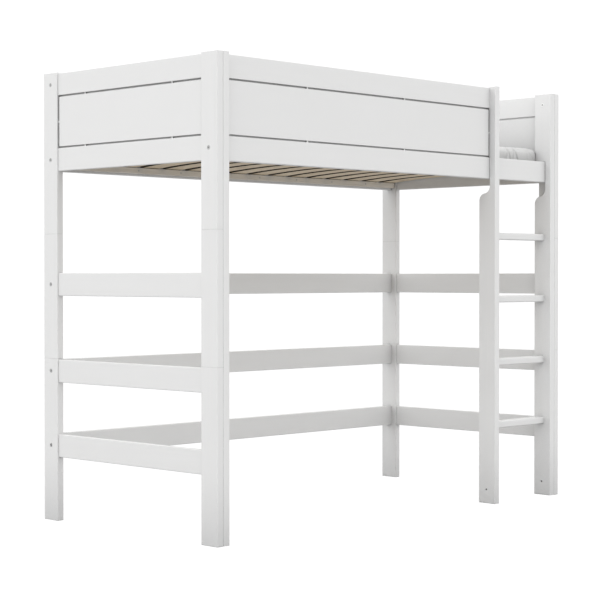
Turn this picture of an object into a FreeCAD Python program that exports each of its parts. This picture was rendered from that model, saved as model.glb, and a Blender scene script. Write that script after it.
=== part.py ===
import FreeCAD, Part
import math
import os
import re
import Sketcher

# Loft bed with a vertical ladder, white painted wood.
# Millimetres, +Z up. Long side along X, front (ladder side) at -Y, origin at the
# bottom centre of the overall bounding box.
# Positions below are written from the front-left corner of the bed:
# "x" runs from the left end, "y" from the front, "z" from the floor.

os.makedirs("parts", exist_ok=True)
doc = FreeCAD.newDocument("loft_bed")

# ---------------------------------------------------------------- parameters
sheet = doc.addObject("Spreadsheet::Sheet", "Params")
PARAMS = [
    # overall
    ("bed_length", 2080.0),
    ("bed_width", 1032.0),
    ("bed_height", 1795.0),
    # corner posts: boards stacked in three lengths
    ("post_thick", 30.0),
    ("post_width", 88.0),
    ("lower_joint", 650.0),
    ("upper_joint", 1150.0),
    ("joint_chamfer", 1.2),
    ("edge_radius", 3.0),
    # long rails
    ("rail_thick", 30.0),
    ("rail_height", 91.5),
    ("rail_inset", 31.0),
    ("low_rail_z", 255.5),
    ("mid_rail_z", 555.0),
    ("high_rail_z", 902.0),
    ("bed_rail_z", 1401.0),
    # short rails in the two ends
    ("end_rail_thick", 18.0),
    ("end_rail_inset", 6.0),
    # top rails and the panels under them
    ("top_rail_z", 1703.0),
    ("top_rail_height", 88.0),
    ("slit", 6.0),
    ("panel_thick", 16.0),
    ("panel_recess", 1.0),
    ("tongue_depth", 8.0),
    ("tongue_thick", 3.0),
    # stiles and ladder
    ("stile_thick", 31.0),
    ("stile_neck", 31.0),
    ("ladder_x", 1620.0),
    ("neck_curve", 32.0),
    ("neck_z", 1370.0),
    ("foot_hole_z", 60.0),
    ("foot_hole_radius", 4.0),
    ("rung_height", 30.0),
    ("rung_depth", 42.0),
    ("rung_inset", 34.0),
    ("first_rung_z", 320.5),
    ("rung_pitch", 273.0),
    ("rung_radius", 5.0),
    # slatted base
    ("ledger_height", 25.0),
    ("ledger_thick", 20.0),
    ("ledger_rise", 8.5),
    ("slat_width", 88.0),
    ("slat_thick", 8.0),
    ("slat_bow", 20.0),
    ("slat_pitch", 125.5),
    ("slat_right", 2049.0),
    ("slat_gap", 2.0),
    ("small_radius", 2.0),
    ("screw_radius", 3.5),
    ("screw_play", 0.2),
    ("screw_pitch", 235.0),
    ("screw_start", 163.0),
    # mattress
    ("mattress_length", 2000.0),
    ("mattress_front", 75.0),
    ("mattress_back", 969.5),
    ("mattress_height", 95.0),
    ("mattress_radius", 24.0),
    ("mattress_relief", 2.0),
    # bolts and inserts
    ("bolt_head_radius", 7.5),
    ("bolt_head_length", 4.0),
    ("bolt_sink", 1.0),
    ("bolt_radius", 3.0),
    ("bolt_length", 85.0),
    ("bolt_clearance", 0.5),
    ("hex_radius", 3.2),
    ("nut_radius", 5.0),
    ("nut_length", 14.0),
    ("nut_distance", 70.0),
    ("spacer_radius", 3.5),
    ("spacer_depth", 4.0),
    ("end_spacer_y", 259.0),
    ("front_spacer_x", 501.0),
    ("back_spacer_x", 475.0),
    ("spacer_pitch", 565.0),
    ("insert_radius", 7.5),
    ("insert_bore", 3.2),
    ("insert_length", 14.0),
    ("insert_stand", 1.0),
]
for row, (alias, value) in enumerate(PARAMS, start=1):
    sheet.set(f"A{row}", alias)
    sheet.set(f"B{row}", str(value))
    sheet.setAlias(f"B{row}", alias)
doc.recompute()

P = dict(PARAMS)
ALIASES = set(P)
NODES = []


def expr(text):
    """Turn 'post_thick + 5' into 'Params.post_thick + 5'."""
    return re.sub(r"[a-z_]+", lambda m: "Params." + m.group(0) if m.group(0) in ALIASES else m.group(0), text)


def bind(obj, prop, text):
    obj.setExpression(prop, expr(text))


def place(obj, x, y, z):
    """Bind the placement of obj to bed coordinates (front-left corner based)."""
    bind(obj, "Placement.Base.x", f"{x} - bed_length / 2")
    bind(obj, "Placement.Base.y", f"{y} - bed_width / 2")
    bind(obj, "Placement.Base.z", z)


def node(obj, name):
    obj.Label = name
    NODES.append((name, obj))
    return obj


def compound(name, members):
    group = doc.addObject("Part::Compound", name)
    group.Links = members
    return node(group, name)


def edges_along(shape, axis):
    """Names of the straight edges that run along the given axis (0, 1 or 2)."""
    found = []
    for index, edge in enumerate(shape.Edges, start=1):
        span = edge.Vertexes[-1].Point - edge.Vertexes[0].Point
        if span.Length > 1e-6 and abs(abs(span[axis]) - span.Length) < 1e-6:
            found.append(f"Edge{index}")
    return found


def edges_at(shape, axis, value):
    """Names of the edges that lie in the plane axis = value."""
    found = []
    for index, edge in enumerate(shape.Edges, start=1):
        box = edge.BoundBox
        low = (box.XMin, box.YMin, box.ZMin)[axis]
        high = (box.XMax, box.YMax, box.ZMax)[axis]
        if abs(low - value) < 1e-4 and abs(high - value) < 1e-4:
            found.append(f"Edge{index}")
    return found


def bore(body, name, radius, depth, centre, axis):
    """Subtract a cylinder that starts at centre (local expressions) and runs along +axis."""
    hole = body.newObject("PartDesign::SubtractiveCylinder", name)
    bind(hole, "Radius", radius)
    bind(hole, "Height", depth)
    rotation = {
        "x": FreeCAD.Rotation(FreeCAD.Vector(0, 1, 0), 90),
        "y": FreeCAD.Rotation(FreeCAD.Vector(1, 0, 0), -90),
        "z": FreeCAD.Rotation(),
    }[axis]
    hole.AttachmentOffset = FreeCAD.Placement(FreeCAD.Vector(0, 0, 0), rotation)
    hole.Placement = FreeCAD.Placement(FreeCAD.Vector(0, 0, 0), rotation)
    for letter, value in zip("xyz", centre):
        bind(hole, f"Placement.Base.{letter}", value)
    return hole


def board(name, size, corner, along, radius="edge_radius", chamfer=False, holes=()):
    """A board with rounded long edges; size and corner are expression triples."""
    body = doc.addObject("PartDesign::Body", name)
    blank = body.newObject("PartDesign::AdditiveBox", name + "_blank")
    for prop, value in zip(("Length", "Width", "Height"), size):
        bind(blank, prop, value)
    doc.recompute()
    fillet = body.newObject("PartDesign::Fillet", name + "_edges")
    fillet.Base = (blank, edges_along(blank.Shape, "xyz".index(along)))
    bind(fillet, "Radius", radius)
    doc.recompute()
    if chamfer:
        axis = "xyz".index(along)
        box = fillet.Shape.BoundBox
        low = (box.XMin, box.YMin, box.ZMin)[axis]
        high = (box.XMax, box.YMax, box.ZMax)[axis]
        ends = edges_at(fillet.Shape, axis, low) + edges_at(fillet.Shape, axis, high)
        ease = body.newObject("PartDesign::Chamfer", name + "_ends")
        ease.Base = (fillet, ends)
        bind(ease, "Size", "joint_chamfer")
        doc.recompute()
    for index, (hole_radius, depth, centre, axis) in enumerate(holes, start=1):
        bore(body, f"{name}_hole{index}", hole_radius, depth, centre, axis)
    place(body, *corner)
    return node(body, name)


def panel(name, size, corner, along, through, outer_first):
    """A board with a thin tongue all round that closes the slit between it and its frame.

    through is the axis across the board's thickness; outer_first tells whether the outer
    face is the low side of that axis.
    """
    body = board(name, size, corner, along, radius="small_radius")
    tongue = body.newObject("PartDesign::AdditiveBox", name + "_tongue")
    start = "tongue_depth" if outer_first else "panel_thick - tongue_depth - tongue_thick"
    for axis, prop, length in zip("xyz", ("Length", "Width", "Height"), size):
        if axis == through:
            bind(tongue, prop, "tongue_thick")
            bind(tongue, f"Placement.Base.{axis}", start)
        else:
            bind(tongue, prop, f"{length} + 2 * slit")
            bind(tongue, f"Placement.Base.{axis}", "-slit")
    return body


# ---------------------------------------------------------------- bolt positions
# Levels of the rails in the ends and the back: name, bottom edge, height.
RAILS = [
    ("low", "low_rail_z", "rail_height"),
    ("mid", "mid_rail_z", "rail_height"),
    ("high", "high_rail_z", "rail_height"),
    ("bed", "bed_rail_z", "rail_height"),
    ("top", "top_rail_z", "top_rail_height"),
]
FRONT_BOLT_Y = "(rail_inset + rail_thick / 2)"
BACK_BOLT_Y = "(bed_width - rail_inset - rail_thick / 2)"


def bolt_height(level):
    for name, base, height in RAILS:
        if name == level:
            return f"({base} + {height} / 2)"


# ---------------------------------------------------------------- corner posts
SEGMENTS = [
    ("lower", "0", "lower_joint", ("low", "mid")),
    ("middle", "lower_joint", "upper_joint", ("high",)),
    ("upper", "upper_joint", "bed_height", ("bed", "top")),
]
POSTS = [
    ("left_front", "0", "0", FRONT_BOLT_Y, ("bed",)),
    ("left_back", "0", "bed_width - post_width", BACK_BOLT_Y, ("low", "mid", "high", "bed", "top")),
    ("right_front", "bed_length - post_thick", "0", FRONT_BOLT_Y, ("bed",)),
    ("right_back", "bed_length - post_thick", "bed_width - post_width", BACK_BOLT_Y,
     ("low", "mid", "high", "bed", "top")),
]
for post, post_x, post_y, bolt_y, bolted in POSTS:
    for segment, low, high, levels in SEGMENTS:
        holes = []
        for level in levels:
            if level not in bolted:
                continue
            local_y = f"{bolt_y} - ({post_y})"
            local_z = f"{bolt_height(level)} - {low}"
            outer = "0" if post.startswith("left") else "post_thick - bolt_head_length - bolt_sink"
            holes.append(("bolt_radius + bolt_clearance", "post_thick", ("0", local_y, local_z), "x"))
            holes.append(("bolt_head_radius + bolt_clearance", "bolt_head_length + bolt_sink",
                          (outer, local_y, local_z), "x"))
        board(f"post_{post}_{segment}", ("post_thick", "post_width", f"{high} - {low}"),
              (post_x, post_y, low), "z", chamfer=True, holes=holes)

# ---------------------------------------------------------------- end rails and panels
ENDS = [
    ("left", "end_rail_inset", "end_rail_inset + panel_recess"),
    ("right", "bed_length - end_rail_inset - end_rail_thick",
     "bed_length - end_rail_inset - end_rail_thick + panel_recess"),
]
PANEL_Z = "bed_rail_z + rail_height + slit"
PANEL_HEIGHT = "top_rail_z - bed_rail_z - rail_height - 2 * slit"
for end, rail_x, panel_x in ENDS:
    for level, base, height in RAILS:
        board(f"end_rail_{end}_{level}", ("end_rail_thick", "bed_width - 2 * post_width", height),
              (rail_x, "post_width", base), "y")
    panel(f"end_panel_{end}", ("panel_thick", "bed_width - 2 * post_width - 2 * slit", PANEL_HEIGHT),
          (panel_x, "post_width + slit", PANEL_Z), "y", "x", end == "left")

# ---------------------------------------------------------------- long rails
RAIL_RUN = "(bed_length - 2 * post_thick)"


NUT_DEPTH = "(rail_thick + nut_length) / 2"


def rail_holes(run, held_by, height):
    """Bolt bores in both ends of a rail, and cross bores for the barrel nuts open to its back."""
    reach = f"(bolt_length - {held_by} + bolt_sink + bolt_head_length)"
    middle = f"{height} / 2"
    holes = []
    for start, nut_x in (("0", f"nut_distance - {held_by}"),
                         (f"{run} - {reach}", f"{run} - nut_distance + {held_by}")):
        holes.append(("bolt_radius + bolt_clearance", reach, (start, "rail_thick / 2", middle), "x"))
        holes.append(("nut_radius", NUT_DEPTH, (nut_x, f"rail_thick - {NUT_DEPTH}", middle), "y"))
    return holes


for level, base, height in RAILS:
    board(f"back_rail_{level}", (RAIL_RUN, "rail_thick", height),
          ("post_thick", "bed_width - rail_inset - rail_thick", base), "x",
          holes=rail_holes(RAIL_RUN, "post_thick", height))
board("front_rail_bed", (RAIL_RUN, "rail_thick", "rail_height"),
      ("post_thick", "rail_inset", "bed_rail_z"), "x",
      holes=rail_holes(RAIL_RUN, "post_thick", "rail_height"))
panel("back_panel", (f"{RAIL_RUN} - 2 * slit", "panel_thick", PANEL_HEIGHT),
      ("post_thick + slit", "bed_width - rail_inset - panel_recess - panel_thick", PANEL_Z), "x", "y", False)

# Front guard between the guard stile and the left ladder stile.
GUARD_X = "post_thick + stile_thick"
GUARD_RUN = "ladder_x - post_thick - stile_thick"
board("front_rail_top", (GUARD_RUN, "rail_thick", "top_rail_height"),
      (GUARD_X, "rail_inset", "top_rail_z"), "x",
      holes=rail_holes(f"({GUARD_RUN})", "stile_thick", "top_rail_height"))
panel("front_panel", (f"{GUARD_RUN} - 2 * slit", "panel_thick", PANEL_HEIGHT),
      (f"{GUARD_X} + slit", "rail_inset + panel_recess", PANEL_Z), "x", "y", True)


# ---------------------------------------------------------------- stiles
def stile(name, x, holes):
    """Full-height stile: deep foot, S-curve to a neck in front of the bed rail, deep head."""
    body = doc.addObject("PartDesign::Body", name)
    profile = body.newObject("Sketcher::SketchObject", name + "_profile")
    plane = [f for f in body.Origin.OriginFeatures if f.Role == "YZ_Plane"][0]
    profile.AttachmentSupport = [(plane, "")]
    profile.MapMode = "FlatFace"
    deep = P["post_width"]
    neck = P["stile_neck"]
    radius = P["neck_curve"]
    neck_z = P["neck_z"]
    rail_top = P["bed_rail_z"] + P["rail_height"]
    height = P["bed_height"]
    cosine = (neck - deep + 2 * radius) / (2 * radius)
    sine = (1 - cosine ** 2) ** 0.5
    foot_z = neck_z - 2 * radius * sine
    V = FreeCAD.Vector
    mid = V(deep - radius + radius * cosine, foot_z + radius * sine, 0)

    def line(a, b):
        return profile.addGeometry(Part.LineSegment(V(a[0], a[1], 0), V(b[0], b[1], 0)), False)

    def arc(centre, start, end):
        first = math.atan2(start[1] - centre[1], start[0] - centre[0])
        second = math.atan2(end[1] - centre[1], end[0] - centre[0])
        circle = Part.Circle(V(centre[0], centre[1], 0), V(0, 0, 1), radius)
        return profile.addGeometry(Part.ArcOfCircle(circle, first, second), False)

    bottom = line((0, 0), (deep, 0))
    foot = line((deep, 0), (deep, foot_z))
    lower = arc((deep - radius, foot_z), (deep, foot_z), (mid.x, mid.y))
    upper = arc((neck + radius, neck_z), (neck, neck_z), (mid.x, mid.y))
    throat = line((neck, neck_z), (neck, rail_top))
    seat = line((neck, rail_top), (deep, rail_top))
    head = line((deep, rail_top), (deep, height))
    top = line((deep, height), (0, height))
    front = line((0, height), (0, 0))
    C = Sketcher.Constraint
    profile.addConstraint([
        C("Coincident", bottom, 2, foot, 1),
        C("Tangent", foot, 2, lower, 1),
        C("Tangent", lower, 2, upper, 2),
        C("Tangent", upper, 1, throat, 1),
        C("Coincident", throat, 2, seat, 1),
        C("Coincident", seat, 2, head, 1),
        C("Coincident", head, 2, top, 1),
        C("Coincident", top, 2, front, 1),
        C("Coincident", front, 2, bottom, 1),
        C("Horizontal", bottom),
        C("Horizontal", seat),
        C("Horizontal", top),
        C("Vertical", foot),
        C("Vertical", throat),
        C("Vertical", head),
        C("Vertical", front),
        C("Coincident", bottom, 1, -1, 1),
        C("Equal", lower, upper),
    ])
    named = [
        ("depth", C("DistanceX", bottom, 1, bottom, 2, deep), "post_width"),
        ("head_depth", C("DistanceX", top, 2, top, 1, deep), "post_width"),
        ("neck_depth", C("DistanceX", -1, 1, seat, 1, neck), "stile_neck"),
        ("neck_height", C("DistanceY", -1, 1, throat, 1, neck_z), "neck_z"),
        ("seat_height", C("DistanceY", -1, 1, seat, 1, rail_top), "bed_rail_z + rail_height"),
        ("full_height", C("DistanceY", -1, 1, front, 1, height), "bed_height"),
        ("curve", C("Radius", lower, radius), "neck_curve"),
    ]
    for label, constraint, value in named:
        index = profile.addConstraint(constraint)
        profile.renameConstraint(index, label)
        bind(profile, f"Constraints.{label}", value)
    doc.recompute()
    pad = body.newObject("PartDesign::Pad", name + "_pad")
    pad.Profile = profile
    bind(pad, "Length", "stile_thick")
    doc.recompute()
    rim = edges_at(pad.Shape, 0, 0.0) + edges_at(pad.Shape, 0, P["stile_thick"])
    fillet = body.newObject("PartDesign::Fillet", name + "_edges")
    fillet.Base = (pad, rim)
    bind(fillet, "Radius", "edge_radius")
    doc.recompute()
    for index, (hole_radius, depth, centre) in enumerate(holes, start=1):
        bore(body, f"{name}_hole{index}", hole_radius, depth, centre, "x")
    place(body, x, "0", "0")
    return node(body, name)


GUARD_Z = bolt_height("top")
FOOT_HOLE = ("foot_hole_radius", "stile_thick", ("0", FRONT_BOLT_Y, "foot_hole_z"))
GUARD_SHANK = ("bolt_radius + bolt_clearance", "stile_thick", ("0", FRONT_BOLT_Y, GUARD_Z))
HEAD_SEAT = "bolt_head_radius + bolt_clearance"
HEAD_DEPTH = "bolt_head_length + bolt_sink"
stile("stile_guard", "post_thick",
      [FOOT_HOLE, GUARD_SHANK, (HEAD_SEAT, HEAD_DEPTH, ("0", FRONT_BOLT_Y, GUARD_Z))])
stile("stile_ladder_left", "ladder_x",
      [FOOT_HOLE, GUARD_SHANK,
       (HEAD_SEAT, HEAD_DEPTH, (f"stile_thick - ({HEAD_DEPTH})", FRONT_BOLT_Y, GUARD_Z))])
stile("stile_ladder_right", "bed_length - post_thick - stile_thick",
      [FOOT_HOLE, ("insert_radius", "insert_length - insert_stand", ("0", FRONT_BOLT_Y, GUARD_Z))])

# ---------------------------------------------------------------- rungs
RUNG_COUNT = 4
RUNG_RUN = "bed_length - post_thick - 2 * stile_thick - ladder_x"
for number in range(RUNG_COUNT):
    board(f"rung_{number + 1}", (RUNG_RUN, "rung_depth", "rung_height"),
          ("ladder_x + stile_thick", "rung_inset", f"first_rung_z + {number} * rung_pitch"), "x",
          radius="rung_radius")

# ---------------------------------------------------------------- slatted base
LEDGER_Z = "bed_rail_z + ledger_rise"
SLAT_Z = "bed_rail_z + ledger_rise + ledger_height"
SCREW_COUNT = 8
for side, ledger_y, head_y in (
        ("front", "rail_inset + rail_thick", "ledger_thick - screw_radius / 2"),
        ("back", "bed_width - rail_inset - rail_thick - ledger_thick", "0")):
    sinks = []
    for number in range(SCREW_COUNT):
        sinks.append(("screw_radius", "screw_radius / 2",
                      (f"screw_start + {number} * screw_pitch", head_y, "ledger_height / 2"), "y"))
    board(f"ledger_{side}", (f"{RAIL_RUN} - 2 * slat_gap", "ledger_thick", "ledger_height"),
          ("post_thick + slat_gap", ledger_y, LEDGER_Z), "x", radius="small_radius", holes=sinks)

SLAT_COUNT = 16
SLAT_RUN = "(bed_width - 2 * rail_inset - 2 * rail_thick - 2 * slat_gap)"


def bowed_slat(name, x):
    """Sprung slat: its ends lie on the ledgers and its middle stands higher by slat_bow."""
    body = doc.addObject("PartDesign::Body", name)
    profile = body.newObject("Sketcher::SketchObject", name + "_profile")
    plane = [f for f in body.Origin.OriginFeatures if f.Role == "YZ_Plane"][0]
    profile.AttachmentSupport = [(plane, "")]
    profile.MapMode = "FlatFace"
    half = (P["bed_width"] - 2 * P["rail_inset"] - 2 * P["rail_thick"] - 2 * P["slat_gap"]) / 2
    under = (half ** 2 + P["slat_bow"] ** 2) / (2 * P["slat_bow"])
    over = under + P["slat_thick"]
    centre = FreeCAD.Vector(half, P["slat_bow"] - under, 0)
    V = FreeCAD.Vector

    def arc(radius):
        lean = math.asin(half / radius)
        circle = Part.Circle(centre, V(0, 0, 1), radius)
        return profile.addGeometry(Part.ArcOfCircle(circle, math.pi / 2 - lean, math.pi / 2 + lean), False)

    rise = centre.y + (over ** 2 - half ** 2) ** 0.5
    belly = arc(under)
    back = arc(over)
    near = profile.addGeometry(Part.LineSegment(V(0, 0, 0), V(0, rise, 0)), False)
    far = profile.addGeometry(Part.LineSegment(V(2 * half, rise, 0), V(2 * half, 0, 0)), False)
    C = Sketcher.Constraint
    profile.addConstraint([
        C("Coincident", belly, 2, near, 1),
        C("Coincident", near, 2, back, 2),
        C("Coincident", back, 1, far, 1),
        C("Coincident", far, 2, belly, 1),
        C("Coincident", belly, 3, back, 3),
        C("Coincident", near, 1, -1, 1),
        C("Vertical", near),
        C("Vertical", far),
    ])
    radius = f"(({SLAT_RUN} / 2) ^ 2 + slat_bow ^ 2) / (2 * slat_bow)"
    named = [
        ("run", C("DistanceX", near, 1, far, 2, 2 * half), SLAT_RUN),
        ("belly", C("Radius", belly, under), radius),
        ("back", C("Radius", back, over), f"{radius} + slat_thick"),
    ]
    for label, constraint, value in named:
        index = profile.addConstraint(constraint)
        profile.renameConstraint(index, label)
        bind(profile, f"Constraints.{label}", value)
    doc.recompute()
    pad = body.newObject("PartDesign::Pad", name + "_pad")
    pad.Profile = profile
    bind(pad, "Length", "slat_width")
    place(body, x, "rail_inset + rail_thick + slat_gap", SLAT_Z)
    return body


slats = []
for number in range(SLAT_COUNT):
    slats.append(bowed_slat(f"slat_{number + 1}",
                            f"slat_right - slat_width - {SLAT_COUNT - 1 - number} * slat_pitch"))
compound("slats", slats)

# ---------------------------------------------------------------- mattress
body = doc.addObject("PartDesign::Body", "mattress")
core = body.newObject("PartDesign::AdditiveBox", "mattress_core")
bind(core, "Length", "mattress_length")
bind(core, "Width", "mattress_back - mattress_front")
bind(core, "Height", "mattress_height")
doc.recompute()
corners = body.newObject("PartDesign::Fillet", "mattress_corners")
corners.Base = (core, edges_along(core.Shape, 2))
bind(corners, "Radius", "mattress_radius")
doc.recompute()
MATTRESS_X = "(bed_length - mattress_length) / 2"
# The three stiles press into the front side.
for index, stile_x in enumerate(("post_thick", "ladder_x", "bed_length - post_thick - stile_thick"), start=1):
    press = body.newObject("PartDesign::SubtractiveBox", f"mattress_press{index}")
    bind(press, "Length", "stile_thick + 2 * mattress_relief")
    bind(press, "Width", "post_width - mattress_front + mattress_relief")
    bind(press, "Height", "mattress_height")
    bind(press, "Placement.Base.x", f"{stile_x} - mattress_relief - {MATTRESS_X}")
place(body, MATTRESS_X, "mattress_front", f"{SLAT_Z} + slat_bow + slat_thick")
node(body, "mattress")

# ---------------------------------------------------------------- bolts, nuts, spacers
X_AXIS = FreeCAD.Rotation(FreeCAD.Vector(0, 1, 0), 90)
X_BACK = FreeCAD.Rotation(FreeCAD.Vector(0, 1, 0), -90)
Y_AXIS = FreeCAD.Rotation(FreeCAD.Vector(1, 0, 0), -90)


def cylinder(name, radius, length, rotation=None):
    rod = doc.addObject("Part::Cylinder", name)
    bind(rod, "Radius", radius)
    bind(rod, "Height", length)
    if rotation is not None:
        rod.Placement = FreeCAD.Placement(FreeCAD.Vector(0, 0, 0), rotation)
    return rod


def bolt(name, x, y, z, rotation):
    """Socket-head bolt: local +Z runs from the head into the wood."""
    head = cylinder(name + "_head", "bolt_head_radius", "bolt_head_length")
    shank = cylinder(name + "_shank", "bolt_radius", "bolt_length")
    solid = doc.addObject("Part::MultiFuse", name + "_solid")
    solid.Shapes = [head, shank]
    key = doc.addObject("Part::Prism", name + "_key")
    key.Polygon = 6
    bind(key, "Circumradius", "hex_radius")
    bind(key, "Height", "bolt_head_length")
    cut = doc.addObject("Part::Cut", name)
    cut.Base = solid
    cut.Tool = key
    cut.Placement = FreeCAD.Placement(FreeCAD.Vector(0, 0, 0), rotation)
    place(cut, x, y, z)
    return cut


post_bolts = []
for post, _, _, bolt_y, bolted in POSTS:
    left = post.startswith("left")
    head_x = "bolt_sink" if left else "bed_length - bolt_sink"
    for level in bolted:
        post_bolts.append(bolt(f"bolt_{post}_{level}", head_x, bolt_y, bolt_height(level),
                               X_AXIS if left else X_BACK))
compound("post_bolts", post_bolts)

guard_bolts = [
    bolt("guard_bolt_left", "post_thick + bolt_sink", FRONT_BOLT_Y, GUARD_Z, X_AXIS),
    bolt("guard_bolt_right", "ladder_x + stile_thick - bolt_sink", FRONT_BOLT_Y, GUARD_Z, X_BACK),
]
compound("guard_bolts", guard_bolts)

FRONT_NUT_Y = "rail_inset + (rail_thick - nut_length) / 2"
BACK_NUT_Y = "bed_width - rail_inset - (rail_thick + nut_length) / 2"
POST_NUTS = (("left", "nut_distance"), ("right", "bed_length - nut_distance"))
GUARD_NUTS = (("left", "post_thick + nut_distance"), ("right", "ladder_x + stile_thick - nut_distance"))
barrel_nuts = []
for side, nut_y, levels, ends in (
        ("front", FRONT_NUT_Y, ("bed",), POST_NUTS),
        ("guard", FRONT_NUT_Y, ("top",), GUARD_NUTS),
        ("back", BACK_NUT_Y, ("low", "mid", "high", "bed", "top"), POST_NUTS)):
    for level in levels:
        for end, nut_x in ends:
            name = f"nut_{side}_{level}_{end}"
            blank = cylinder(name + "_blank", "nut_radius", "nut_length", Y_AXIS)
            thread = cylinder(name + "_bore", "bolt_radius", "2 * nut_radius", X_AXIS)
            bind(thread, "Placement.Base.x", "-nut_radius")
            bind(thread, "Placement.Base.y", "nut_length / 2")
            nut = doc.addObject("Part::Cut", name)
            nut.Base = blank
            nut.Tool = thread
            place(nut, nut_x, nut_y, bolt_height(level))
            barrel_nuts.append(nut)
compound("barrel_nuts", barrel_nuts)

# Round spacers that centre each panel in its frame; they sit in the slits, in front of the tongue.
LOW_SLIT = "bed_rail_z + rail_height"
HIGH_SLIT = "top_rail_z - slit"
for end, _, panel_x in ENDS:
    members = []
    peg_x = f"{panel_x} + spacer_depth" if end == "left" else f"{panel_x} + panel_thick - spacer_depth"
    for index, spacer_y in enumerate(("bed_width / 2 - end_spacer_y", "bed_width / 2 + end_spacer_y")):
        for where, spacer_z in (("low", LOW_SLIT), ("high", HIGH_SLIT)):
            peg = cylinder(f"spacer_{end}_{where}{index}", "spacer_radius", "slit")
            place(peg, peg_x, spacer_y, spacer_z)
            members.append(peg)
    for index, spacer_y in enumerate(("post_width", "bed_width - post_width - slit")):
        peg = cylinder(f"spacer_{end}_side{index}", "spacer_radius", "slit", Y_AXIS)
        place(peg, peg_x, spacer_y, f"{PANEL_Z} + ({PANEL_HEIGHT}) / 2")
        members.append(peg)
    compound(f"spacers_{end}", members)

for side, peg_y, run_start, run_end, first_x, stations in (
        ("front", "rail_inset + panel_recess + spacer_depth", GUARD_X, "ladder_x", "front_spacer_x", 2),
        ("back", "bed_width - rail_inset - panel_recess - spacer_depth", "post_thick",
         "bed_length - post_thick", "back_spacer_x", 3)):
    members = []
    for index in range(stations):
        spacer_x = f"{first_x} + {index} * spacer_pitch"
        for where, spacer_z in (("low", LOW_SLIT), ("high", HIGH_SLIT)):
            peg = cylinder(f"spacer_{side}_{where}{index}", "spacer_radius", "slit")
            place(peg, spacer_x, peg_y, spacer_z)
            members.append(peg)
    for index, spacer_x in enumerate((run_start, f"{run_end} - slit")):
        peg = cylinder(f"spacer_{side}_side{index}", "spacer_radius", "slit", X_AXIS)
        place(peg, spacer_x, peg_y, f"{PANEL_Z} + ({PANEL_HEIGHT}) / 2")
        members.append(peg)
    compound(f"spacers_{side}", members)

# Screw heads in the two ledgers.
screws = []
for side, head_y in (("front", "rail_inset + rail_thick + ledger_thick - screw_radius / 2"),
                     ("back", "bed_width - rail_inset - rail_thick - ledger_thick + screw_play")):
    for number in range(SCREW_COUNT):
        screw = cylinder(f"screw_{side}_{number + 1}", "screw_radius",
                         "screw_radius / 2 - screw_play", Y_AXIS)
        place(screw, f"post_thick + slat_gap + screw_start + {number} * screw_pitch", head_y,
              f"{LEDGER_Z} + ledger_height / 2")
        screws.append(screw)
compound("ledger_screws", screws)

# Threaded insert in the right ladder stile, for a guard rail on that side.
ring = cylinder("insert_ring", "insert_radius", "insert_length")
hole = cylinder("insert_hole", "insert_bore", "insert_length")
insert = doc.addObject("Part::Cut", "guard_insert")
insert.Base = ring
insert.Tool = hole
insert.Placement = FreeCAD.Placement(FreeCAD.Vector(0, 0, 0), X_AXIS)
place(insert, "bed_length - post_thick - stile_thick - insert_stand", FRONT_BOLT_Y, GUARD_Z)
node(insert, "guard_insert")

# ---------------------------------------------------------------- check and export
doc.recompute()
problems = []
for obj in doc.Objects:
    if "Invalid" in obj.State or "Error" in obj.State:
        problems.append(obj.Name + ": " + ",".join(obj.State))
for name, obj in NODES:
    if obj.Shape.isNull() or not obj.Shape.isValid() or not obj.Shape.Solids:
        problems.append(name + ": bad shape")
if problems:
    raise RuntimeError("; ".join(problems[:12]))
for name, obj in NODES:
    obj.Shape.exportStep(f"parts/{name}.step")
    box = obj.Shape.BoundBox
    print(f"{name}: solids {len(obj.Shape.Solids)} "
          f"x {box.XMin:.1f} {box.XMax:.1f} y {box.YMin:.1f} {box.YMax:.1f} z {box.ZMin:.1f} {box.ZMax:.1f}")
print("nodes", len(NODES))
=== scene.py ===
import math

import bmesh
import bpy
import numpy as np
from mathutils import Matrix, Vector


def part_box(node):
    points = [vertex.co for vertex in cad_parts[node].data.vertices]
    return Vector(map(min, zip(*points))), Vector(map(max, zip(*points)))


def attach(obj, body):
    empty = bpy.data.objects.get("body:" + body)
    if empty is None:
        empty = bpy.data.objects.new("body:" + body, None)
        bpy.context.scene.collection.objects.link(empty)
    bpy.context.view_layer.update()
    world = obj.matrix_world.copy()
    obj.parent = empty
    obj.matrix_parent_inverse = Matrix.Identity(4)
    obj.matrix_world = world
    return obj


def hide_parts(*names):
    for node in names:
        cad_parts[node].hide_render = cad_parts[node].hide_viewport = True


# Looks of the loft bed. Metres, in the frame of the CAD model: +X along the bed towards
# the ladder end, +Y from the ladder side to the back, +Z up, floor at z = 0.
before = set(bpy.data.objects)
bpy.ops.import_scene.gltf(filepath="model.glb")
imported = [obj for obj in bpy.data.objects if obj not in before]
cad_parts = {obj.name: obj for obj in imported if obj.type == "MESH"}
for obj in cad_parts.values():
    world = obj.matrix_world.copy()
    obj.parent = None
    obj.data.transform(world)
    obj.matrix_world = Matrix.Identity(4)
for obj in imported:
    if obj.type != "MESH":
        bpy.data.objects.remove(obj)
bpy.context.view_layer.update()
scene = bpy.context.scene
MM = 0.001


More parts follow.
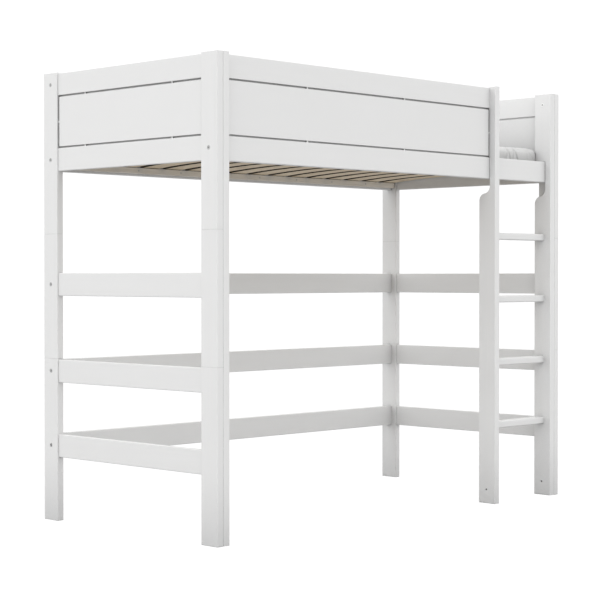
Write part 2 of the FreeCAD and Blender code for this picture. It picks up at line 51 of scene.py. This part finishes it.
# ---------------------------------------------------------------- node graphs
class Graph:
    """Short calls for building one node tree."""

    def __init__(self, owner):
        owner.use_nodes = True
        self.tree = owner.node_tree
        self.tree.nodes.clear()

    def add(self, kind, inputs=(), **settings):
        """A node with some settings, and inputs given as {socket name or index: value or socket}."""
        node = self.tree.nodes.new("ShaderNode" + kind)
        for name, value in settings.items():
            setattr(node, name, value)
        for name, value in dict(inputs).items():
            self.feed(node.inputs[name], value)
        return node

    def feed(self, socket, value):
        if isinstance(value, bpy.types.NodeSocket):
            self.tree.links.new(value, socket)
        elif socket.type == "RGBA" and len(value) == 3:
            socket.default_value = (*value, 1.0)
        else:
            socket.default_value = value

    def math(self, operation, a, b=0.0):
        return self.add("Math", {0: a, 1: b}, operation=operation).outputs[0]

    def vector(self, operation, a, b=(0.0, 0.0, 0.0)):
        node = self.add("VectorMath", {0: a, 1: b}, operation=operation)
        return node.outputs["Value" if operation == "DOT_PRODUCT" else "Vector"]

    def noise(self, coords, scale, detail=4.0, roughness=0.55, distortion=0.0):
        return self.add("TexNoise", {"Vector": coords, "Scale": scale, "Detail": detail,
                                     "Roughness": roughness, "Distortion": distortion}).outputs["Fac"]

    def remap(self, value, low, high, to_low=0.0, to_high=1.0):
        return self.add("MapRange", {"Value": value, "From Min": low, "From Max": high,
                                     "To Min": to_low, "To Max": to_high},
                        interpolation_type="SMOOTHSTEP").outputs["Result"]

    def blend(self, factor, a, b):
        node = self.add("Mix", data_type="RGBA")
        self.feed(node.inputs[0], factor)
        self.feed(node.inputs[6], a)
        self.feed(node.inputs[7], b)
        return node.outputs[2]

    def bump(self, height, distance, strength, normal=None):
        node = self.add("Bump", {"Height": height, "Distance": distance, "Strength": strength})
        if normal is not None:
            self.feed(node.inputs["Normal"], normal)
        return node.outputs["Normal"]

    def edges(self, radius):
        """0 on flat faces, rising to 1 within a radius of an edge."""
        rounded = self.add("Bevel", {"Radius": radius}, samples=4).outputs["Normal"]
        plain = self.add("NewGeometry").outputs["Normal"]
        return self.remap(self.vector("DOT_PRODUCT", rounded, plain), 0.995, 0.80)

    def openness(self, reach):
        """1 on open faces and in plain corners, falling to 0 down inside narrow gaps; it masks painted
        shade.
        """
        node = self.add("AmbientOcclusion", {"Distance": reach}, samples=8)
        return self.remap(node.outputs["AO"], 0.10, 0.46)

    def painted_inside_shade(self, base, shade):
        """Base colour turned to a painted shade deep inside the object, where little light gets in."""
        node = self.add("AmbientOcclusion", {"Distance": INSIDE_PAINTED_SHADE_REACH}, samples=8)
        return self.blend(self.remap(node.outputs["AO"], 0.25, 0.95), shade, base)

    def own_coords(self):
        """Object coordinates in metres, shifted differently on every piece."""
        place = self.add("TexCoord").outputs["Object"]
        chance = self.add("ObjectInfo").outputs["Random"]
        shift = self.vector("MULTIPLY", self.add("CombineXYZ", {0: chance, 1: chance, 2: chance}).outputs[0],
                            (37.0, 53.0, 71.0))
        return self.vector("ADD", place, shift)

    def stretched(self, coords, along, length, across):
        """Coordinates for marks drawn out along one axis: marks per metre along it and across it."""
        scale = [across, across, across]
        scale["xyz".index(along)] = length
        return self.vector("MULTIPLY", coords, tuple(scale))

    def surface(self, base, roughness, normal, constants=()):
        shader = self.add("BsdfPrincipled", {"Base Color": base, "Roughness": roughness, "Normal": normal})
        for name, value in dict(constants).items():
            self.feed(shader.inputs[name], value)
        output = self.add("OutputMaterial")
        self.tree.links.new(shader.outputs[0], output.inputs["Surface"])


def new_material(name):
    made = bpy.data.materials.new(name)
    return made, Graph(made)


# ---------------------------------------------------------------- wood finishes
WHITE_BRIGHT = (0.845, 0.845, 0.842)
WHITE_DULL = (0.832, 0.832, 0.828)
PRIMER = (0.770, 0.755, 0.715)
# Painted shade: colour for the insides of slits, gaps and pits.
GAP_PAINTED_SHADE = (0.050, 0.048, 0.045)
# How far a point looks round itself for walls when painting shade: in slits, in small pits and seams, in the
# whole bed.
GAP_REACH = 30 * MM
PIT_REACH = 14 * MM
INSIDE_PAINTED_SHADE_REACH = 0.40
# Painted shade colours for surfaces deep inside the bed, where little light gets in.
INSIDE_PAINTED_SHADE_WHITE = (0.600, 0.600, 0.600)
INSIDE_PAINTED_SHADE_CLOTH = (0.520, 0.520, 0.518)


def white_lacquer(name, along):
    """Satin white paint on solid wood: the grain shows faintly through, edges are rubbed thin."""
    made, g = new_material(name)
    coords = g.own_coords()
    rings = g.noise(g.stretched(coords, along, 0.9, 13.0), 2.2, 5.0, 0.62, 0.6)
    pores = g.noise(g.stretched(coords, along, 9.0, 420.0), 1.6, 3.0, 0.7)
    cloud = g.noise(coords, 3.1, 3.0)
    peel = g.noise(coords, 620.0, 2.0)
    wear = g.math("MULTIPLY", g.edges(3.5 * MM), g.remap(g.noise(coords, 17.0, 5.0, 0.7), 0.42, 0.70))
    tone = g.math("ADD", g.math("MULTIPLY", rings, 0.55), g.math("MULTIPLY", cloud, 0.45))
    base = g.blend(g.remap(tone, 0.35, 0.68), WHITE_DULL, WHITE_BRIGHT)
    base = g.blend(g.math("MULTIPLY", g.remap(pores, 0.60, 0.80), 0.08), base, PRIMER)
    base = g.blend(g.math("MULTIPLY", wear, 0.30), base, PRIMER)
    # Painted shade: surfaces deep inside the bed turn grey.
    base = g.painted_inside_shade(base, INSIDE_PAINTED_SHADE_WHITE)
    # Painted shade: slits and narrow gaps turn near black.
    base = g.blend(g.openness(GAP_REACH), GAP_PAINTED_SHADE, base)
    rough = g.math("ADD", g.remap(cloud, 0.30, 0.72, 0.36, 0.47), g.math("MULTIPLY", wear, 0.12))
    normal = g.bump(rings, 0.30 * MM, 0.15)
    normal = g.bump(pores, 0.08 * MM, 0.25, normal)
    normal = g.bump(peel, 0.04 * MM, 0.20, normal)
    g.surface(base, rough, normal, {"Specular IOR Level": 0.42, "Coat Weight": 0.12, "Coat Roughness": 0.25})
    return made


def white_panel():
    """Sprayed board: smoother than the solid wood, only a roller texture and soft clouding."""
    made, g = new_material("white_panel")
    coords = g.own_coords()
    cloud = g.noise(coords, 2.3, 3.0)
    roller = g.noise(coords, 340.0, 3.0, 0.6)
    wear = g.math("MULTIPLY", g.edges(3.0 * MM), g.remap(g.noise(coords, 21.0, 4.0), 0.45, 0.7))
    base = g.blend(g.remap(cloud, 0.3, 0.7), WHITE_DULL, WHITE_BRIGHT)
    base = g.blend(g.math("MULTIPLY", wear, 0.25), base, PRIMER)
    # Painted shade: surfaces deep inside the bed turn grey.
    base = g.painted_inside_shade(base, INSIDE_PAINTED_SHADE_WHITE)
    # Painted shade: slits and narrow gaps turn near black.
    base = g.blend(g.openness(GAP_REACH), GAP_PAINTED_SHADE, base)
    rough = g.math("ADD", g.remap(cloud, 0.3, 0.7, 0.33, 0.42), g.math("MULTIPLY", roller, 0.05))
    normal = g.bump(roller, 0.08 * MM, 0.3)
    g.surface(base, rough, normal, {"Specular IOR Level": 0.42, "Coat Weight": 0.1, "Coat Roughness": 0.3})
    return made


def bare_wood(name, along, light, dark, knot_colour, board_pitch, knots=0.5, side_painted_shade=0.0):
    """Planed pine with growth rings, fibres and a few knots; each board of a row has its own cut."""
    made, g = new_material(name)
    place = g.add("TexCoord").outputs["Object"]
    across = g.add("SeparateXYZ", {0: place}).outputs[1 if along == "x" else 0]
    board = g.math("FLOOR", g.math("DIVIDE", across, board_pitch))
    chance = g.add("TexWhiteNoise", {"W": board}, noise_dimensions="1D")
    coords = g.vector("ADD", place, g.vector("MULTIPLY", chance.outputs["Color"], (5.0, 7.0, 9.0)))
    warp = g.noise(g.stretched(coords, along, 0.8, 5.0), 1.7, 3.0)
    knot_map = g.add("TexVoronoi", {"Vector": g.stretched(coords, along, 2.1, 6.0), "Scale": 1.0,
                                    "Randomness": 1.0}).outputs["Distance"]
    near_knot = g.remap(knot_map, 0.34, 0.08)
    offset = g.math("ADD", g.math("MULTIPLY", warp, 5.0), g.math("MULTIPLY", near_knot, 1.3))
    lines = g.add("CombineXYZ", {0: offset, 1: offset, 2: offset}).outputs[0]
    ring_coords = g.vector("ADD", g.stretched(coords, along, 0.5, 62.0), lines)
    rings = g.noise(ring_coords, 1.0, 2.0, 0.5)
    fibres = g.noise(g.stretched(coords, along, 16.0, 900.0), 1.0, 3.0, 0.7)
    tone = g.math("ADD", g.math("MULTIPLY", rings, 0.75), g.math("MULTIPLY", fibres, 0.25))
    base = g.blend(g.remap(tone, 0.40, 0.64), light, dark)
    base = g.blend(g.math("MULTIPLY", chance.outputs["Value"], 0.22), base, dark)
    heart = g.math("MULTIPLY", g.remap(knot_map, 0.13, 0.05), knots)
    base = g.blend(heart, base, knot_colour)
    # Painted shade: the board sides facing across the row turn near black, standing in for the shade in the
    # gaps between boards.
    sideways = [0.0, 0.0, 0.0]
    sideways[0 if along == "y" else 1] = 1.0
    facing = g.vector("DOT_PRODUCT", g.add("NewGeometry").outputs["Normal"], tuple(sideways))
    edge = g.remap(g.math("ABSOLUTE", facing), 0.20, 0.50)
    base = g.blend(g.math("MULTIPLY", edge, side_painted_shade), base, SLAT_SIDE_PAINTED_SHADE)
    # Painted shade: slits and narrow gaps turn near black.
    base = g.blend(g.openness(GAP_REACH), GAP_PAINTED_SHADE, base)
    rough = g.remap(tone, 0.35, 0.7, 0.72, 0.58)
    normal = g.bump(rings, 0.35 * MM, 0.35)
    normal = g.bump(fibres, 0.10 * MM, 0.5, normal)
    g.surface(base, rough, normal, {"Specular IOR Level": 0.28})
    return made


# ---------------------------------------------------------------- metal, plastic, cloth
def brushed_steel(name, dull, bright, rough_low, rough_high):
    made, g = new_material(name)
    coords = g.own_coords()
    turned = g.noise(g.stretched(coords, "x", 40.0, 2600.0), 1.0, 3.0, 0.6)
    stain = g.noise(coords, 240.0, 3.0)
    base = g.blend(g.remap(stain, 0.35, 0.7), dull, bright)
    rough = g.math("ADD", g.remap(stain, 0.3, 0.7, rough_low, rough_high), g.math("MULTIPLY", turned, 0.08))
    g.surface(base, rough, g.bump(turned, 0.03 * MM, 0.3), {"Metallic": 1.0})
    return made


def moulded_plastic(name, dull, bright):
    made, g = new_material(name)
    coords = g.own_coords()
    grainy = g.noise(coords, 1500.0, 2.0)
    cloud = g.noise(coords, 60.0, 2.0)
    base = g.blend(cloud, dull, bright)
    # Painted shade: small pits and seams turn near black.
    base = g.blend(g.openness(PIT_REACH), GAP_PAINTED_SHADE, base)
    rough = g.remap(cloud, 0.3, 0.7, 0.40, 0.50)
    g.surface(base, rough, g.bump(grainy, 0.04 * MM, 0.4), {"Subsurface Weight": 0.05,
                                                           "Subsurface Radius": (0.004, 0.004, 0.004)})
    return made


def knit_cover(name, bright, dull):
    """Fine cotton jersey: ribs of small loops, lint and soft clouding."""
    made, g = new_material(name)
    place = g.add("TexCoord").outputs["Object"]

    def ribs(scale, direction):
        inputs = {"Vector": place, "Scale": scale, "Distortion": 0.6, "Detail": 1.0, "Detail Scale": 2.0}
        return g.add("TexWave", inputs, wave_type="BANDS", bands_direction=direction).outputs["Fac"]

    rows = ribs(190.0, "X")
    wales = ribs(240.0, "DIAGONAL")
    lint = g.noise(place, 1400.0, 3.0, 0.7)
    cloud = g.noise(place, 7.0, 4.0)
    weave = g.math("MULTIPLY", rows, wales)
    tone = g.math("ADD", g.math("MULTIPLY", cloud, 0.6), g.math("MULTIPLY", weave, 0.4))
    # Painted shade: surfaces deep inside the bed turn grey.
    base = g.painted_inside_shade(g.blend(g.remap(tone, 0.2, 0.7), dull, bright), INSIDE_PAINTED_SHADE_CLOTH)
    # Painted shade: small pits and seams turn near black.
    base = g.blend(g.openness(PIT_REACH), GAP_PAINTED_SHADE, base)
    rough = g.remap(lint, 0.3, 0.7, 0.82, 0.95)
    normal = g.bump(weave, 0.35 * MM, 0.45)
    normal = g.bump(lint, 0.15 * MM, 0.4, normal)
    g.surface(base, rough, normal, {"Specular IOR Level": 0.2, "Sheen Weight": 0.25, "Sheen Roughness": 0.5})
    return made


PINE_LIGHT = (0.810, 0.695, 0.530)
PINE_DARK = (0.700, 0.565, 0.395)
KNOT = (0.300, 0.190, 0.110)
PALE_LIGHT = (0.850, 0.815, 0.760)
PALE_DARK = (0.800, 0.755, 0.685)
PALE_KNOT = (0.520, 0.440, 0.360)
# Painted shade colour for the slat sides in the gaps.
SLAT_SIDE_PAINTED_SHADE = (0.045, 0.036, 0.026)
SLAT_PITCH = 0.1255

finish = {
    "x": white_lacquer("white_lacquer_x", "x"),
    "y": white_lacquer("white_lacquer_y", "y"),
    "z": white_lacquer("white_lacquer_z", "z"),
    "panel": white_panel(),
    "slats": bare_wood("bare_pine", "y", PINE_LIGHT, PINE_DARK, KNOT, SLAT_PITCH, side_painted_shade=1.0),
    "ledger": bare_wood("pale_pine", "x", PALE_LIGHT, PALE_DARK, PALE_KNOT, 0.5, knots=0.35),
    "steel": brushed_steel("zinc_steel", (0.50, 0.505, 0.51), (0.60, 0.60, 0.59), 0.30, 0.42),
    "plastic": moulded_plastic("moulded_plastic", (0.86, 0.86, 0.85), (0.90, 0.90, 0.89)),
    "insert": moulded_plastic("bright_plastic", (0.965, 0.965, 0.96), (0.985, 0.985, 0.98)),
    "cover": knit_cover("cotton_cover", (0.74, 0.74, 0.735), (0.69, 0.69, 0.685)),
    "cord": knit_cover("cotton_piping", (0.70, 0.70, 0.695), (0.64, 0.64, 0.635)),
}

# First matching name part decides the finish of a CAD node.
NODE_FINISH = [
    ("bolts", "steel"), ("nuts", "steel"), ("screws", "steel"), ("spacers", "plastic"), ("insert", "insert"),
    ("panel", "panel"), ("slats", "slats"), ("ledger", "ledger"), ("mattress", "cover"),
    ("post", "z"), ("stile", "z"), ("end_rail", "y"), ("rail", "x"), ("rung", "x"),
]


def paint_cad_nodes():
    for name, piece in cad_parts.items():
        key = next(value for part, value in NODE_FINISH if part in name)
        piece.data.materials.clear()
        piece.data.materials.append(finish[key])


# ---------------------------------------------------------------- mattress
VOXEL = 12 * MM
DRAWN_IN = 6 * MM
SWELL = 8 * MM
SIM_FRAMES = 20
HELD_HEIGHT = 6 * MM
REFINED_DEPTH = 30 * MM
PIPING_RADIUS = 2 * MM


def evaluated_copy(piece):
    """The mesh of a piece with its modifiers applied, as new data."""
    piece_now = piece.evaluated_get(bpy.context.evaluated_depsgraph_get())
    return bpy.data.meshes.new_from_object(piece_now)


def settle(piece):
    """Apply every modifier of a piece."""
    mesh = evaluated_copy(piece)
    piece.modifiers.clear()
    piece.data = mesh


def points_of(mesh):
    flat = np.empty(len(mesh.vertices) * 3)
    mesh.vertices.foreach_get("co", flat)
    return flat.reshape(-1, 3)


def set_points(mesh, points):
    mesh.vertices.foreach_set("co", points.ravel())
    mesh.update()


def soft_blank(node):
    """A remeshed copy of a CAD solid with rounded edges, drawn in a little on all sides but the bottom."""
    piece = bpy.data.objects.new("mattress_cover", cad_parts[node].data.copy())
    scene.collection.objects.link(piece)
    remesh = piece.modifiers.new("remesh", "REMESH")
    remesh.mode = "VOXEL"
    remesh.voxel_size = VOXEL
    smooth = piece.modifiers.new("smooth", "SMOOTH")
    smooth.factor = 0.5
    smooth.iterations = 5
    settle(piece)
    low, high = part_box(node)
    points = points_of(piece.data)
    middle = (np.array(low) + np.array(high)) / 2
    half = (np.array(high) - np.array(low)) / 2
    scale = 1 - DRAWN_IN / half
    scale[2] = 1 - DRAWN_IN / (2 * half[2])
    points = middle + (points - middle) * scale
    points[:, 2] -= points[:, 2].min() - low.z
    set_points(piece.data, points)
    return piece


def swell(piece, held):
    """Blow the cover up a little by cloth simulation; held vertices stay where they are."""
    start = points_of(piece.data)
    group = piece.vertex_groups.new(name="held")
    group.add([int(i) for i in np.flatnonzero(held)], 1.0, "REPLACE")
    cloth = piece.modifiers.new("cloth", "CLOTH")
    cloth.settings.quality = 4
    cloth.settings.mass = 0.25
    cloth.settings.use_pressure = True
    cloth.settings.uniform_pressure_force = 4.0
    cloth.settings.effector_weights.gravity = 0.0
    cloth.settings.vertex_group_mass = "held"
    cloth.point_cache.frame_start = 1
    cloth.point_cache.frame_end = SIM_FRAMES
    for number in range(1, SIM_FRAMES + 1):
        scene.frame_set(number)
    settle(piece)
    scene.frame_set(1)
    moved = points_of(piece.data) - start
    length = np.linalg.norm(moved, axis=1, keepdims=True)
    capped = SWELL * np.tanh(length / SWELL)
    set_points(piece.data, start + moved * capped / np.maximum(length, 1e-9))


# Folds pressed into the front side between the ladder stiles: where the fold starts along the
# opening (0 left, 1 right), how far below the top, sideways run of its two legs per metre down.
FOLDS = [(0.455, 10 * MM, (-0.28, 0.30), 6.0 * MM), (0.580, 7 * MM, (-0.22, 0.42), 7.0 * MM),
         (0.810, 5 * MM, (0.10, 0.95), 2.0 * MM)]
FOLD_WIDTH = 3.6 * MM
QUILT_PITCH = 0.115
QUILT_DEPTH = 2.2 * MM
SEAM_DEPTH = 1.6 * MM
SEAM_WIDTH = 4.5 * MM
SEAM_HEIGHT = 14 * MM
CROWN = 4 * MM
FRONT_OUT = 7 * MM
STITCH_WIDTH = 7 * MM
QUILT_BORDER = (25 * MM, 70 * MM)
FRONT_REACH = (35 * MM, 10 * MM)
FRONT_INSET = 2.5 * MM
CROWN_REACH = 100 * MM
PRESS_OUT = 7 * MM
PRESS_WIDTH = 18 * MM
PRESS_PLAY = 2 * MM
NOTCH_EDGE = 13 * MM
END_WIDTH = 32 * MM
END_OUT = 9 * MM
END_LIFT = 6 * MM
END_RISE = (40 * MM, 12 * MM)


def smooth_step(values, low, high):
    share = np.clip((values - low) / (high - low), 0.0, 1.0)
    return share * share * (3 - 2 * share)


def bell(values, width):
    return np.exp(-(values / width) ** 2)


def normals_of(mesh):
    flat = np.empty(len(mesh.vertices) * 3)
    mesh.vertices.foreach_get("normal", flat)
    return flat.reshape(-1, 3)


def refine(mesh, chosen):
    """Split every face whose middle passes the test into four."""
    shape = bmesh.new()
    shape.from_mesh(mesh)
    edges = {edge for face in shape.faces if chosen(face.calc_center_median()) for edge in face.edges}
    bmesh.ops.subdivide_edges(shape, edges=list(edges), cuts=1, use_grid_fill=True)
    shape.to_mesh(mesh)
    shape.free()


def sew(mesh):
    """Quilting on the top, a seam line round both rims, and the front between the ladder stiles."""
    low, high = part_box("mattress")
    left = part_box("stile_ladder_left")[1].x
    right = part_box("stile_ladder_right")[0].x
    points = points_of(mesh)
    normals = normals_of(mesh)
    x, y, z = points.T
    top = smooth_step(normals[:, 2], 0.5, 0.9)
    side = smooth_step(-np.abs(normals[:, 2]), -0.75, -0.35)
    rim = np.minimum(np.minimum(x - low.x, high.x - x), np.minimum(y - low.y, high.y - y))
    inner = smooth_step(rim, *QUILT_BORDER)
    first = np.abs((x + y) / QUILT_PITCH % 1.0 - 0.5) * QUILT_PITCH
    second = np.abs((x - y) / QUILT_PITCH % 1.0 - 0.5) * QUILT_PITCH
    stitched = np.maximum(bell(first, STITCH_WIDTH), bell(second, STITCH_WIDTH))
    depth = top * inner * QUILT_DEPTH * stitched
    for level in (high.z - SEAM_HEIGHT, low.z + SEAM_HEIGHT):
        depth += side * SEAM_DEPTH * bell(z - level, SEAM_WIDTH)
    share = (x - left) / (right - left)
    front = smooth_step(-normals[:, 1], 0.2, 0.8) * smooth_step(-np.abs(share - 0.5), -0.52, -0.46)
    for start, drop, legs, fold_depth in FOLDS:
        fall = (high.z - drop) - z
        below = smooth_step(fall, -4 * MM, 10 * MM)
        for run in legs:
            across = x - (left + start * (right - left)) - run * np.maximum(fall, 0.0)
            depth += front * below * fold_depth * bell(across, FOLD_WIDTH)
    points = points - normals * depth[:, None]
    near_front = bell(y - low.y, CROWN_REACH)
    crown = smooth_step(share, 0.20, 0.55) * smooth_step(-share, -1.25, -0.85)
    points[:, 2] += near_front * top * CROWN * crown
    points[:, 1] += front * FRONT_INSET * smooth_step(-share, -0.41, -0.36)
    between_stiles = smooth_step(-np.abs(share - 0.5), -0.505, -0.490)
    forward = smooth_step(-y, -low.y - FRONT_REACH[0], -low.y - FRONT_REACH[1]) * between_stiles
    points[:, 1] -= forward * FRONT_OUT
    corner = forward * bell(x - right, END_WIDTH)
    points[:, 1] -= corner * END_OUT
    points[:, 2] += corner * smooth_step(z, high.z - END_RISE[0], high.z - END_RISE[1]) * END_LIFT
    points[:, 1] = np.maximum(points[:, 1], low.y)
    points[:, 2] = np.minimum(points[:, 2], high.z)
    for end, outward in ((left, -1.0), (right, 1.0)):
        points[:, 0] += outward * PRESS_OUT * forward * bell(x - end, PRESS_WIDTH)
    inside = (points[:, 0] > left - 0.02) & (points[:, 0] < right + 0.02) & (y < low.y + NOTCH_EDGE)
    points[inside, 0] = np.clip(points[inside, 0], left + PRESS_PLAY, right - PRESS_PLAY)
    set_points(mesh, points)


def make_piping(cover, level):
    """A thin corded seam that follows the cover's own outline at a height."""
    shape = bmesh.new()
    shape.from_mesh(cover.data)
    cut = bmesh.ops.bisect_plane(shape, geom=shape.verts[:] + shape.edges[:] + shape.faces[:],
                                 plane_co=(0.0, 0.0, level), plane_no=(0.0, 0.0, 1.0))["geom_cut"]
    rim = [part for part in cut if isinstance(part, bmesh.types.BMEdge)]
    rim_set = set(rim)
    start = rim[0].verts[0]
    here = start
    used = set()
    line = []
    while True:
        line.append(here.co.copy())
        ahead = [edge for edge in here.link_edges if edge in rim_set and edge not in used]
        if not ahead:
            break
        used.add(ahead[0])
        here = ahead[0].other_vert(here)
        if here == start:
            break
    shape.free()
    curve = bpy.data.curves.new("mattress_piping", "CURVE")
    curve.dimensions = "3D"
    curve.bevel_depth = PIPING_RADIUS
    curve.bevel_resolution = 3
    spline = curve.splines.new("POLY")
    spline.points.add(len(line) - 1)
    for point, place in zip(spline.points, line):
        point.co = (*place, 1.0)
    spline.use_cyclic_u = True
    piping = bpy.data.objects.new("mattress_piping", curve)
    scene.collection.objects.link(piping)
    curve.materials.append(finish["cord"])
    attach(piping, "root")


def make_mattress():
    low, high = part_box("mattress")
    ladder_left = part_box("stile_ladder_left")[0].x
    piece = soft_blank("mattress")
    points = points_of(piece.data)
    on_slats = points[:, 2] < low.z + HELD_HEIGHT
    swell(piece, on_slats)
    subdivide = piece.modifiers.new("subdivide", "SUBSURF")
    subdivide.levels = subdivide.render_levels = 1
    settle(piece)
    refine(piece.data, lambda middle: middle.x > ladder_left and middle.y < low.y + REFINED_DEPTH)
    sew(piece.data)
    piece.data.polygons.foreach_set("use_smooth", [True] * len(piece.data.polygons))
    piece.data.materials.clear()
    piece.data.materials.append(finish["cover"])
    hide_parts("mattress")
    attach(piece, "root")
    make_piping(piece, low.z + SEAM_HEIGHT)


# ---------------------------------------------------------------- studio
CAMERA_PLACE = (-5.129, -4.957, 0.979)
CAMERA_YAW = 45.468
CAMERA_PITCH = 0.802
CAMERA_LENS = 100.35
CAMERA_SENSOR = 36.0
FLOOR_SIZE = 60.0
# Strength of the light tent, and how much it grows towards a direction.
SKY = 1.23
SKY_LEAN = (-0.18, -0.03, 0.0)
FLOOR_WHITE = 0.42
FLOOR_GLOW = 1.14
FLOOR_GLOW_SHARE = 0.88


def make_camera():
    data = bpy.data.cameras.new("camera")
    camera = bpy.data.objects.new("camera", data)
    scene.collection.objects.link(camera)
    data.sensor_width = CAMERA_SENSOR
    data.lens = CAMERA_LENS
    data.clip_end = 100.0
    camera.location = CAMERA_PLACE
    camera.rotation_euler = (math.radians(90 - CAMERA_PITCH), 0.0, math.radians(-CAMERA_YAW))
    scene.camera = camera


def make_world():
    """A soft light tent all round, a little brighter on one side than on the other."""
    world = bpy.data.worlds.new("studio")
    scene.world = world
    g = Graph(world)
    towards = g.add("TexCoord").outputs["Generated"]
    lean = g.vector("DOT_PRODUCT", towards, SKY_LEAN)
    sky = g.add("Background", {"Color": (1.0, 1.0, 1.0), "Strength": g.math("ADD", lean, SKY)})
    output = g.add("OutputWorld")
    g.tree.links.new(sky.outputs[0], output.inputs["Surface"])
    scene.view_settings.view_transform = "Standard"
    scene.view_settings.look = "None"


def make_floor():
    """A wide pale floor, overexposed like the paper sweep of a product photograph."""
    mesh = bpy.data.meshes.new("studio_floor")
    shape = bmesh.new()
    bmesh.ops.create_grid(shape, x_segments=8, y_segments=8, size=FLOOR_SIZE)
    shape.to_mesh(mesh)
    shape.free()
    floor = bpy.data.objects.new("studio_floor", mesh)
    scene.collection.objects.link(floor)
    paper, g = new_material("studio_paper")
    diffuse = g.add("BsdfDiffuse", {"Color": (FLOOR_WHITE,) * 3})
    glow = g.add("Emission", {"Color": (1.0, 1.0, 1.0), "Strength": FLOOR_GLOW})
    seen = g.add("LightPath").outputs["Is Camera Ray"]
    share = g.math("MULTIPLY", seen, FLOOR_GLOW_SHARE)
    mixed = g.add("MixShader", {0: share, 1: diffuse.outputs[0], 2: glow.outputs[0]})
    output = g.add("OutputMaterial")
    g.tree.links.new(mixed.outputs[0], output.inputs["Surface"])
    mesh.materials.append(paper)


make_camera()
make_world()
make_floor()
paint_cad_nodes()
make_mattress()
